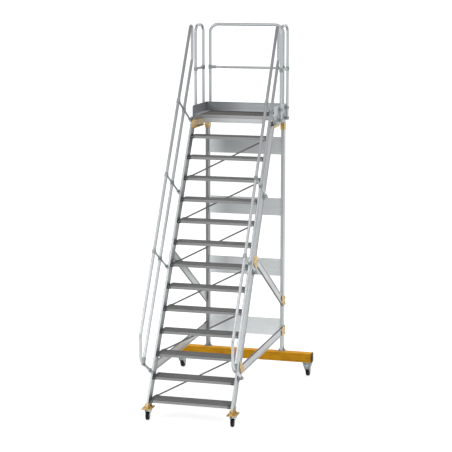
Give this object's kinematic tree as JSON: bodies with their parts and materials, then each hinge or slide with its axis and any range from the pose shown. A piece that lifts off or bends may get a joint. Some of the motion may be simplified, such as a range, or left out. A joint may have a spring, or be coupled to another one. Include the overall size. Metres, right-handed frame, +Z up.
{
  "type": "rolling warehouse ladder",
  "caption": "Rolling warehouse ladder: ribbed treads between tube handrails climb to a railed platform, on a braced aluminium frame with a wide rear crossbeam and swivel castors.",
  "frame": {"origin": "on the floor, midway between the ladder's two sides and between its front and rear ends", "axes": "+Z up, +X to the right of a person who climbs the stair, +Y the way they climb, towards the rear frame"},
  "size_m": [1.8, 2.6395, 4.46],
  "materials": {
    "profile": "mill finish, brushed along its length",
    "tread": "ribbed mill finish, dulled",
    "deck": "ribbed, dark with use",
    "tread_casting": "cast, dark grey coating",
    "rod": "bright zinc plate",
    "tube": "satin, drawn tube",
    "panel": "satin sheet",
    "casting": "amber paint on a cast surface",
    "beam": "amber powder coat",
    "cap": "moulded, matt",
    "zinc": "zinc-plated pressing",
    "wheel": "moulded wheel centre",
    "tyre": "black rubber"
  },
  "bodies": {
    "frame": {"bolts": "rod", "brace_brackets": "casting", "braces": "profile", "castor_kingpins": "rod", "castor_plates": "zinc", "crossbeam": "beam", "deck": "deck", "end_caps": "cap", "front_apron": "profile", "front_feet": "casting", "front_nosing": "profile", "guard_leg_brackets": "tread_casting", "guard_mid_clamps": "tread_casting", "guard_mid_rails": "tube", "handrail_left": "tube", "handrail_right": "tube", "platform_brackets": "casting", "platform_rails": "profile", "post_feet": "tread_casting", "rail_clamps": "tread_casting", "rear_guard": "tube", "rear_panels": "panel", "rear_posts": "profile", "side_guard_left": "tube", "side_guard_right": "tube", "stanchions": "tube", "stringer_left": "profile", "stringer_right": "profile", "tie_rods": "rod", "toe_boards": "panel", "tread_01": "tread", "tread_02": "tread", "tread_03": "tread", "tread_04": "tread", "tread_05": "tread", "tread_06": "tread", "tread_07": "tread", "tread_08": "tread", "tread_09": "tread", "tread_10": "tread", "tread_11": "tread", "tread_12": "tread", "tread_13": "tread", "tread_ends": "tread_casting"},
    "swivel_front_left": {"fork_front_left": "zinc", "axle_front_left": "zinc"},
    "roller_front_left": {"wheel_front_left": "wheel", "tyre_front_left": "tyre"},
    "swivel_front_right": {"fork_front_right": "zinc", "axle_front_right": "zinc"},
    "roller_front_right": {"wheel_front_right": "wheel", "tyre_front_right": "tyre"},
    "swivel_rear_left": {"fork_rear_left": "zinc", "axle_rear_left": "zinc"},
    "roller_rear_left": {"wheel_rear_left": "wheel", "tyre_rear_left": "tyre"},
    "swivel_rear_right": {"fork_rear_right": "zinc", "axle_rear_right": "zinc"},
    "roller_rear_right": {"wheel_rear_right": "wheel", "tyre_rear_right": "tyre"}
  },
  "joints": [
    {"name": "swivel_front_left", "type": "hinge", "parent": "frame", "child": "swivel_front_left", "pos_m": [-0.508, -1.141, 0.119], "axis": [0, 0, 1], "continuous": true},
    {"name": "roll_front_left", "type": "hinge", "parent": "swivel_front_left", "child": "roller_front_left", "pos_m": [-0.508, -1.173, 0.05], "axis": [1, 0, 0], "continuous": true},
    {"name": "swivel_front_right", "type": "hinge", "parent": "frame", "child": "swivel_front_right", "pos_m": [0.508, -1.141, 0.119], "axis": [0, 0, 1], "continuous": true},
    {"name": "roll_front_right", "type": "hinge", "parent": "swivel_front_right", "child": "roller_front_right", "pos_m": [0.508, -1.173, 0.05], "axis": [1, 0, 0], "continuous": true},
    {"name": "swivel_rear_left", "type": "hinge", "parent": "frame", "child": "swivel_rear_left", "pos_m": [-0.836, 1.203, 0.174], "axis": [0, 0, 1], "continuous": true},
    {"name": "roll_rear_left", "type": "hinge", "parent": "swivel_rear_left", "child": "roller_rear_left", "pos_m": [-0.836, 1.245, 0.075], "axis": [1, 0, 0], "continuous": true},
    {"name": "swivel_rear_right", "type": "hinge", "parent": "frame", "child": "swivel_rear_right", "pos_m": [0.836, 1.203, 0.174], "axis": [0, 0, 1], "continuous": true},
    {"name": "roll_rear_right", "type": "hinge", "parent": "swivel_rear_right", "child": "roller_rear_right", "pos_m": [0.836, 1.245, 0.075], "axis": [1, 0, 0], "continuous": true}
  ]
}
